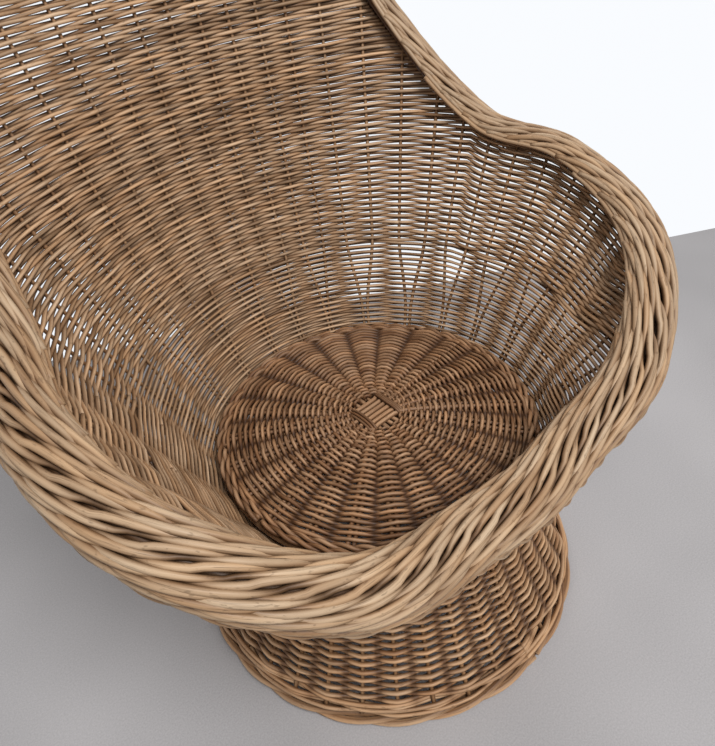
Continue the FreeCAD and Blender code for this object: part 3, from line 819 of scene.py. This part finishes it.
def row_knots(angles, signs, height):
    """Uprights that a row passes, from edge to edge or once round the chair."""
    end = row_end(height)
    if end <= EDGE_HEIGHT[0]:
        return np.append(angles, angles[0] + 360.0), closed(signs)
    first = edge_angle(end)
    inside = (angles > first + ROW_MARGIN) & (angles < 360.0 - ROW_MARGIN - first)
    knots = np.concatenate(((first,), angles[inside], (360.0 - first,)))
    return knots, np.concatenate(((0.0,), signs[inside], (0.0,)))


def row_heights(start, stop, pitch):
    """Heights of rows that lie on each other up the leaning wall behind."""
    rear = np.array([180.0])
    heights = []
    height = start
    while height < stop:
        heights.append(height)
        level = level_at(rear, height)
        low = wall_middle(rear, level - 0.01)
        high = wall_middle(rear, level + 0.01)
        rise = high[1][0] - low[1][0]
        height += pitch * rise / math.hypot(rise, high[0][0] - low[0][0])
    return heights


def wall_rows(weave):
    """Heights of the thick rows, from the belt to the top of the back."""
    return row_heights(weave.belt - BELT_HALF, EDGE_HEIGHT[-1] - TOP_ROOM, weave.wall_pitch)


# Pieces


class ChairStep:
    """Settings shared by the operators, which run in the order of their classes."""

    bl_options = {"REGISTER", "UNDO"}


class CHAIR_OT_foot_border(ChairStep, bpy.types.Operator):
    """Twisted rods of the floor border"""

    bl_idname = "chair.foot_border"
    bl_label = "Foot border"

    def execute(self, context):
        strands = Strands(8, 11)
        rope_ring(strands, ring_row(*FLOOR_RING), FLOOR_ROPE, start=4.0, parts=3, gap=0.7)
        strands.build("floor_border_rods", "foot_willow", "foot_border")
        return {"FINISHED"}


class CHAIR_OT_foot_wale(ChairStep, bpy.types.Operator):
    """Long floating rows above the floor border"""

    bl_idname = "chair.foot_wale"
    bl_label = "Foot wale"

    def execute(self, context):
        strands = Strands(8, 12)
        for side, first, heights, swing, radius in FLOAT_ROWS:
            for row, height in enumerate(heights, start=first):
                place = skirt_row(height)
                sides = closed(side * FLOAT_PATTERN[(np.arange(FOOT_STAKES) + row) % 4])
                weave_row(strands, place, FOOT_KNOTS, sides, swing, radius, samples=8, hollow_shade=0.5)
        strands.build("foot_wale_rods", "foot_willow", "foot_wale")
        return {"FINISHED"}


class CHAIR_OT_foot_weave(ChairStep, bpy.types.Operator):
    """Rows of the flared foot"""

    bl_idname = "chair.foot_weave"
    bl_label = "Foot weave"

    def execute(self, context):
        weave = context.scene.chair_weave
        strands = Strands(6, 13)
        rod = weave.foot_rod
        swing = FOOT_STAKE + rod * 0.9
        height, top = FOOT_ROWS
        row = 0
        while height < top:
            place = skirt_row(height)
            sides = closed(alternate(FOOT_STAKES, row))
            weave_row(strands, place, FOOT_KNOTS, sides, swing, rod, samples=9, hollow_shade=0.9)
            slope = (skirt_radius(height + SLOPE_STEP) - skirt_radius(height)) / SLOPE_STEP
            height += weave.foot_pitch / math.hypot(1, slope)
            row += 1
        strands.build("foot_weavers", "foot_willow", "foot_weave")
        return {"FINISHED"}


class CHAIR_OT_foot_stakes(ChairStep, bpy.types.Operator):
    """Upright rods of the foot"""

    bl_idname = "chair.foot_stakes"
    bl_label = "Foot stakes"

    def execute(self, context):
        strands = Strands(8, 14)
        heights = np.linspace(*FOOT_STAKE_SPAN)
        for knot in FOOT_KNOTS[:-1]:
            angle = np.full(len(heights), knot) + strands.luck.normal(0, 0.25)
            points = polar(angle, skirt_radius(heights), heights)
            radius = FOOT_STAKE * strands.luck.uniform(*ROD_SPREAD)
            # Painted shade dims the foot's uprights, which stand behind the rows
            strands.add(points, polar(angle, 1.0, 0.4), radius, 0.7)
        strands.build("foot_uprights", "stake_willow", "foot_stakes")
        return {"FINISHED"}


class CHAIR_OT_waist(ChairStep, bpy.types.Operator):
    """Twisted band that ties the bowl to the foot"""

    bl_idname = "chair.waist"
    bl_label = "Waist band"

    def execute(self, context):
        strands = Strands(8, 15)
        rope_ring(strands, ring_row(*WAIST_RING), WAIST_ROPE, start=0.0, parts=4, gap=1.0)
        strands.build("waist_rods", "foot_willow", "waist_band")
        return {"FINISHED"}


class CHAIR_OT_bowl(ChairStep, bpy.types.Operator):
    """Fine rows of the bowl, worked over pairs of stakes"""

    bl_idname = "chair.bowl"
    bl_label = "Bowl weave"

    def execute(self, context):
        weave = context.scene.chair_weave
        strands = Strands(6, 16)
        rod = weave.fine_rod
        swing = weave.stake + rod * 0.9
        top = wall_rows(weave)[0]
        rows = np.array(row_heights(BOWL_START, top - BOWL_ROOM, weave.fine_pitch))
        reach = top - BOWL_END_ROOM - rows[0]
        for row, height in enumerate(rows[0] + (rows - rows[0]) * reach / (rows[-1] - rows[0])):
            signs = np.repeat(alternate(STAKE_COUNT // 2, row), 2)
            knots, sides = row_knots(stake_angles(height, weave.belt), signs, height)
            place = wall_row(height)
            weave_row(strands, place, knots, sides, swing, rod, samples=5, hollow_shade=0.4, wall=True)
        strands.build("bowl_weavers", "shell_willow", "bowl_weave")
        return {"FINISHED"}


class CHAIR_OT_sides(ChairStep, bpy.types.Operator):
    """Thick rows of the belt, the sides and the tall back"""

    bl_idname = "chair.sides"
    bl_label = "Belt, side and back weave"

    def execute(self, context):
        weave = context.scene.chair_weave
        belt, lower, upper = Strands(8, 17), Strands(6, 18), Strands(6, 19)
        rod = weave.wall_rod
        swing = weave.stake + rod * 0.65
        for row, height in enumerate(wall_rows(weave)):
            signs = alternate(STAKE_COUNT, row)
            knots, sides = row_knots(stake_angles(height, weave.belt), signs, height)
            strands = belt if row < BELT_ROWS else lower if height < weave.split else upper
            place = wall_row(height)
            weave_row(strands, place, knots, sides, swing, rod, samples=6, hollow_shade=0.3, wall=True)
        belt.build("belt_rods", "shell_willow", "belt_wale")
        lower.build("side_weavers", "shell_willow", "side_weave")
        upper.build("back_weavers", "shell_willow", "back_weave")
        return {"FINISHED"}


class CHAIR_OT_stakes(ChairStep, bpy.types.Operator):
    """Upright rods of the tub"""

    bl_idname = "chair.stakes"
    bl_label = "Wall stakes"

    def execute(self, context):
        weave = context.scene.chair_weave
        levels = np.linspace(*STAKE_LEVELS)
        even = (np.arange(STAKE_COUNT) + 0.5) * 360.0 / STAKE_COUNT
        turn = np.abs((even + 180.0) % 360.0 - 180.0)
        for seed, (node, low, high) in enumerate(STAKE_GROUPS, start=20):
            strands = Strands(8, seed)
            for index in np.nonzero((turn >= low) & (turn < high))[0]:
                angle = np.full(len(levels), even[index])
                heights = wall_middle(angle, levels)[1]
                angle = stake_angles(heights, weave.belt)[:, index]
                points, outward, _ = wall_frame(angle, level_at(angle, heights))
                radius = weave.stake * strands.luck.uniform(*ROD_SPREAD)
                # Painted shade dims the uprights, which stand behind the rows
                strands.add(points, outward, radius, 0.85)
            strands.build(node.replace("stakes", "uprights"), "stake_willow", node)
        return {"FINISHED"}


def rim_place(angle, across, up):
    """Points across and above the wall's edge, with its outward and away directions."""
    middle, outward, along = wall_frame(angle, np.full(np.shape(angle), 2.0))
    away = np.cross(outward, along)
    across, up = (np.reshape(value, (-1, 1)) for value in (across, up))
    return middle + outward * across + away * up, outward, away


def rim_section(share, half, rise):
    """Arch of the border's section: across, up and its outward direction."""

    def arch(p):
        across, up = np.cos(np.pi * p), np.sin(np.pi * p)
        across = half * np.sign(across) * np.abs(across) ** ARCH_ACROSS
        return across, rise * np.sign(up) * np.abs(up) ** ARCH_UP

    before = arch(share - ARCH_STEP)
    after = arch(share + ARCH_STEP)
    step = np.hypot(after[0] - before[0], after[1] - before[1])
    return *arch(share), (after[1] - before[1]) / step, -(after[0] - before[0]) / step


class RimPath:
    """Length along the border, and the angle at each length."""

    def __init__(self):
        self.angles = np.linspace(0.0, 360.0, BORDER_STEPS)
        self.run = run_along(rim_place(self.angles, 0.0, BORDER_MIDDLE)[0])
        self.total = float(self.run[-1])

    def angle(self, run):
        return np.interp(np.mod(run, self.total), self.run, self.angles)


def rim_strand(strands, path, border, start, phase, radius):
    """Strand that winds from under the outer to under the inner edge and swells where it shows."""
    share = np.linspace(*STRAND_SHARES)
    run = start + border.sweep * share
    across, up, out_across, out_up = rim_section(
        share, border.half_width - radius, border.rise - radius
    )
    beat = np.mod(run * border.lays / path.total + phase, 1.0) - 0.5
    shown = 1 - np.exp(-((beat / STRAND_BEAT) ** 2))
    lift = border.dive * (2 * shown - 1)
    across = across + border.outset + out_across * lift
    points, outward, away = rim_place(path.angle(run), across, up + out_up * lift)
    normal = outward * out_across[:, None] + away * out_up[:, None]
    swell = 0.80 + 0.18 * shown + 0.06 * np.cos(2 * np.pi * (np.abs(beat) - 0.5))
    # Painted shade where the strand dives under its neighbours
    strands.add(points, normal, radius * swell, 0.15 + 0.85 * shown)


def lip_rods(strands, path, border, count, overlap, shares, radius):
    """Long rods along an edge of the border, each from one share of its section to another."""
    for index in range(count):
        start = (index + 0.35) * path.total / count
        reach = np.linspace(0.0, path.total / count * overlap, LIP_POINTS)
        turn = np.pi * np.linspace(*shares, LIP_POINTS)
        across = (border.half_width - radius * 0.4) * np.cos(turn) + border.outset
        up = border.rise * 0.94 * np.sin(turn)
        points, outward, _ = rim_place(path.angle(start + reach), across, up)
        # Light painted shade on the lip rods
        strands.add(points, outward, radius, 0.95)


class CHAIR_OT_border(ChairStep, bpy.types.Operator):
    """Plaited border round the edge of the tub"""

    bl_idname = "chair.border"
    bl_label = "Plaited border"

    def execute(self, context):
        border = context.scene.chair_border
        path = RimPath()
        strands = Strands(8, 31)
        step = path.total / border.strands
        for index in range(border.strands):
            start = index * step + strands.luck.normal(0, 0.0012)
            phase = index / 3.0 + strands.luck.normal(0, 0.03)
            radius = border.strand * strands.luck.uniform(*ROD_SPREAD)
            rim_strand(strands, path, border, start, phase, radius)
        lip_rods(strands, path, border, 5, -1.6, (0.07, -0.05), border.strand)
        lip_rods(strands, path, border, 11, 2.6, (0.86, 1.01), border.strand * 0.86)
        angle = path.angle(np.linspace(0.0, path.total, CORE_POINTS))
        half, rise = border.half_width - CORE_DEPTH[0], border.rise - CORE_DEPTH[1]
        for share in np.linspace(*CORE_SHARES):
            across, up, _, _ = rim_section(share, half, rise)
            points, _, away = rim_place(angle, across + border.outset, up)
            # Deep painted shade on the core rods inside the border
            strands.add(points, away, CORE_ROD, 0.1, 0.7)
        strands.build("border_strands", "rim_willow", "rim_border")
        return {"FINISHED"}


class CHAIR_OT_turns(ChairStep, bpy.types.Operator):
    """Rods that come out under the border and turn round its lip"""

    bl_idname = "chair.turns"
    bl_label = "Turned rods"

    def execute(self, context):
        border = context.scene.chair_border
        strands = Strands(8, 32)
        lip = border.outset + border.half_width
        share = np.array((0.0, 0.1, 0.4, 0.7, 1.0))
        across = np.array((TURN_WALL, (TURN_WALL + lip) / 2, lip, lip + 0.004, lip - 0.004))
        up = np.array((0.0, -0.008, -0.004, 0.004, border.rise / 3))
        for index in range(STAKE_COUNT):
            angle = index * 360.0 / STAKE_COUNT - TURN_SWEEP * share
            points, outward, _ = rim_place(angle, across, up)
            points = resample(smooth_path(points), TURN_POINTS)
            side = np.repeat(outward[2:3], TURN_POINTS, axis=0)
            radius = border.turn * strands.luck.uniform(0.9, 1.05)
            # Light painted shade on the turned rods
            strands.add(points, side, radius * np.linspace(1.0, 0.8, TURN_POINTS), 0.9)
        strands.build("turned_rods", "rim_willow", "rim_turns")
        return {"FINISHED"}


def stick_path(index, layer, rib):
    """Whole stick across the disc: straight in the cross and fanned out to its ribs."""
    place = index - (CROSS_STICKS - 1) / 2
    turn = math.radians(place * RIB_STEP)
    lift = layer * rib * 1.02
    points = [(x, place * STICK_STEP, disc_height(x) + lift) for x in (0.0, CROSS_HALF)]
    for share in (0.25, 0.6, 1.0):
        radius = CROSS_HALF + (RIB_REACH - CROSS_HALF) * share
        height = disc_height(radius) + lift * (1 - share)
        points.append((radius * math.cos(turn), radius * math.sin(turn), height))
    other = [(-x, y, z) for x, y, z in reversed(points[1:])]
    return resample(smooth_path(np.array(other + points)), STICK_POINTS)


class CHAIR_OT_cross(ChairStep, bpy.types.Operator):
    """Crossed sticks of the seat with their ties and side sticks"""

    bl_idname = "chair.cross"
    bl_label = "Seat cross"

    def execute(self, context):
        rib = context.scene.chair_weave.rib
        upward = np.tile((0.0, 0.0, 1.0), (STICK_POINTS, 1))
        for node, layer, seed in (("cross_upper_sticks", 1, 41), ("cross_lower_sticks", -1, 42)):
            strands = Strands(10, seed)
            for index in range(CROSS_STICKS):
                points = stick_path(index, layer, rib)
                if layer < 0:
                    points = points[:, (1, 0, 2)]
                tone = np.clip(strands.luck.normal(*STICK_TONE), 0, 1)
                reach = np.hypot(points[:, 0], points[:, 1])
                # Painted shade on the sticks beyond the cross, where the seat's rows cover them
                lit_share = np.where(reach < CROSS_HALF * 1.3, 1.0, 0.45)
                strands.add(points, upward, rib * strands.luck.uniform(0.96, 1.06), lit_share, tone)
            strands.build(node.replace("sticks", "rods"), "seat_willow", node)
        sides = Strands(8, 43)
        for index in range(RIB_COUNT):
            turn = math.radians((index + 0.5) * RIB_STEP)
            radius = np.linspace(RIB_START, RIB_REACH, RIB_POINTS)
            x = radius * math.cos(turn) - 2 * RIB_HALF * math.sin(turn)
            y = radius * math.sin(turn) + 2 * RIB_HALF * math.cos(turn)
            points = np.stack((x, y, disc_height(radius)), -1)
            # Painted shade on the side sticks under the seat's rows
            sides.add(points, upward[:RIB_POINTS], rib * 0.95, 0.45)
        sides.build("rib_doubles", "seat_willow", "rib_side_sticks")
        ties = Strands(8, 44)
        y = np.linspace(-TIE_REACH, TIE_REACH, TIE_POINTS)
        bend = (y / TIE_REACH) ** 2
        for side in (-1, 1):
            for place in range(3):
                x = side * (TIE_PLACE + TIE_STEP * place + TIE_BEND * bend)
                z = disc_height(0.0) + TIE_LIFT - TIE_FALL * place - TIE_DROOP * bend**2
                # Painted shade darkens the ties
                ties.add(np.stack((x, y, z), -1), upward[:TIE_POINTS], TIE_ROD, 0.55, 0.75)
        ties.build("cross_binding", "seat_willow", "cross_ties")
        return {"FINISHED"}


class CHAIR_OT_seat(ChairStep, bpy.types.Operator):
    """Rounds of the seat disc"""

    bl_idname = "chair.seat"
    bl_label = "Seat weave"

    def execute(self, context):
        weave = context.scene.chair_weave
        strands = Strands(6, 45)
        radius = DISC_START
        row = 0
        while radius < DISC_JOINT - 0.001:
            half = math.degrees(min(RIB_HALF / radius, math.radians(RIB_STEP) * 0.3))
            shift = math.degrees(RIB_HALF / radius) if radius > DISC_PAIRED else 0.0
            centre = DISC_TURN + np.arange(RIB_COUNT) * RIB_STEP + shift
            knots = np.stack((centre - half, centre + half), -1).ravel()
            knots = np.append(knots, knots[0] + 360.0)
            sides = closed(np.repeat(alternate(RIB_COUNT, row), 2))
            tight = radius < DISC_TIGHT
            rod = weave.seat_rod * (0.8 if tight else 1.0)
            swing = weave.rib + rod * 0.8
            place = disc_row(radius)
            weave_row(strands, place, knots, sides, swing, rod, 4, hollow_shade=1.0, wander=DISC_WANDER)
            radius += weave.seat_pitch * (0.85 if tight else 1.0)
            row += 1
        strands.build("seat_weavers", "seat_willow", "seat_weave")
        return {"FINISHED"}


class CHAIR_OT_seat_edge(ChairStep, bpy.types.Operator):
    """Thick rods at the disc's edge and the hoop below them"""

    bl_idname = "chair.seat_edge"
    bl_label = "Seat edge and hoop"

    def execute(self, context):
        strands = Strands(8, 46)
        for ring, radius in enumerate(DISC_ROPE_RINGS):
            start = ring * DISC_ROPE_SHIFT
            rope_ring(strands, disc_row(radius), DISC_ROPE, start, parts=3, gap=2.0)
        strands.build("seat_edge_rods", "seat_willow", "seat_edge")
        hoop = Strands(12, 47)
        angle = np.linspace(0.0, 359.6, 181)
        # Painted shade dims the hoop under the seat
        hoop.add(polar(angle, *HOOP_RING), polar(angle, 1.0, 0.0), HOOP_ROD, 0.8)
        hoop.build("seat_hoop_rod", "stake_willow", "seat_hoop")
        return {"FINISHED"}


def add_floor(colour):
    """Floor that ends at the line where the photographed floor meets the wall."""
    mesh = bpy.data.meshes.new("floor")
    corners = [tuple(FLOOR_ALONG * x + FLOOR_BACK * y) for x, y in FLOOR_CORNERS]
    mesh.from_pydata(corners, [], [(0, 1, 2, 3)])
    piece = linked("floor", mesh)
    finish = Finish(bpy.data.materials, "floor")
    place = finish.make("ShaderNodeTexCoord", output="Object")
    fine = finish.noise(place, 420.0)
    broad = finish.noise(place, 2.2, 2.0)
    dark = opaque([channel * 0.84 for channel in colour])
    pale = opaque([min(1.0, channel * 1.12) for channel in colour])
    base = finish.mixed(finish.ranged(fine * 0.5 + broad * 0.5, 0.36, 0.64), dark, pale)
    bump = finish.bumpy(0.2, 0.0008, fine)
    sockets = {"Base Color": base, "Roughness": 0.85, "Normal": bump}
    mesh.materials.append(finish.surface(sockets))


def add_light(stage, backdrop):
    """Light from all round, a large lamp overhead and a weaker one behind."""
    finish = Finish(bpy.data.worlds, "soft_light")
    bpy.context.scene.world = finish.owner
    seen = finish.make("ShaderNodeLightPath", output="Is Camera Ray")
    for kind in ("Is Glossy Ray", "Is Transmission Ray"):
        seen = seen.math("MAXIMUM", seen, finish.make("ShaderNodeLightPath", output=kind))
    white = opaque((1.0, 1.0, 1.0))
    soft = finish.make("ShaderNodeBackground", {"Color": white, "Strength": stage.sky})
    plain = finish.make("ShaderNodeBackground", {"Color": opaque(backdrop), "Strength": 1.0})
    both = finish.make("ShaderNodeMixShader", {0: seen, 1: soft, 2: plain})
    finish.make("ShaderNodeOutputWorld", {"Surface": both})
    for name, place, width, share in LAMPS:
        lamp = bpy.data.lights.new(name, "AREA")
        lamp.shape = "DISK"
        lamp.size = width
        lamp.energy = stage.key * share
        holder = linked(name, lamp)
        holder.location = place
        aim = LAMP_AIM - Vector(place)
        holder.rotation_euler = aim.to_track_quat("-Z", "Y").to_euler()


def add_camera(stage):
    """Camera at the photograph's place and angle."""
    data = bpy.data.cameras.new("camera")
    data.sensor_fit = "HORIZONTAL"
    data.sensor_width = 36.0
    data.lens = stage.focal
    data.clip_start = 0.02
    course = Matrix.Rotation(-stage.azimuth, 4, "Z")
    downward = Matrix.Rotation(math.pi / 2 - stage.pitch, 4, "X")
    roll = Matrix.Rotation(stage.roll, 4, "Z")
    holder = linked("camera", data)
    holder.matrix_world = Matrix.Translation(stage.place) @ course @ downward @ roll
    bpy.context.scene.camera = holder


class CHAIR_OT_stage(ChairStep, bpy.types.Operator):
    """Floor, light and camera"""

    bl_idname = "chair.stage"
    bl_label = "Stage"

    def execute(self, context):
        scene = context.scene
        add_floor(scene.chair_colours.floor)
        add_light(scene.chair_stage, scene.chair_colours.backdrop)
        add_camera(scene.chair_stage)
        scene.view_settings.view_transform = "Standard"
        return {"FINISHED"}


PIECES = ChairStep.__subclasses__()
GROUPS = (
    ("chair_weave", ChairWeave),
    ("chair_border", ChairBorder),
    ("chair_colours", ChairColours),
    ("chair_stage", ChairStage),
)


class CHAIR_PT_panel(bpy.types.Panel):
    """Sizes, colours and pieces of the chair"""

    bl_label = "Willow chair"
    bl_idname = "CHAIR_PT_panel"
    bl_space_type = "VIEW_3D"
    bl_region_type = "UI"
    bl_category = "Willow chair"

    def draw(self, context):
        for name, group in GROUPS:
            box = self.layout.box()
            for field in group.__annotations__:
                box.prop(getattr(context.scene, name), field)
        for piece in PIECES:
            self.layout.operator(piece.bl_idname)


def register():
    for _, group in GROUPS:
        bpy.utils.register_class(group)
    for name, group in GROUPS:
        setattr(bpy.types.Scene, name, PointerProperty(type=group))
    for piece in PIECES:
        bpy.utils.register_class(piece)
    bpy.utils.register_class(CHAIR_PT_panel)


def unregister():
    bpy.utils.unregister_class(CHAIR_PT_panel)
    for piece in reversed(PIECES):
        bpy.utils.unregister_class(piece)
    for name, group in reversed(GROUPS):
        delattr(bpy.types.Scene, name)
        bpy.utils.unregister_class(group)


def main():
    register()
    for piece in PIECES:
        getattr(bpy.ops.chair, piece.bl_idname.removeprefix("chair."))()
    bpy.context.view_layer.update()


if __name__ == "__main__":
    main()
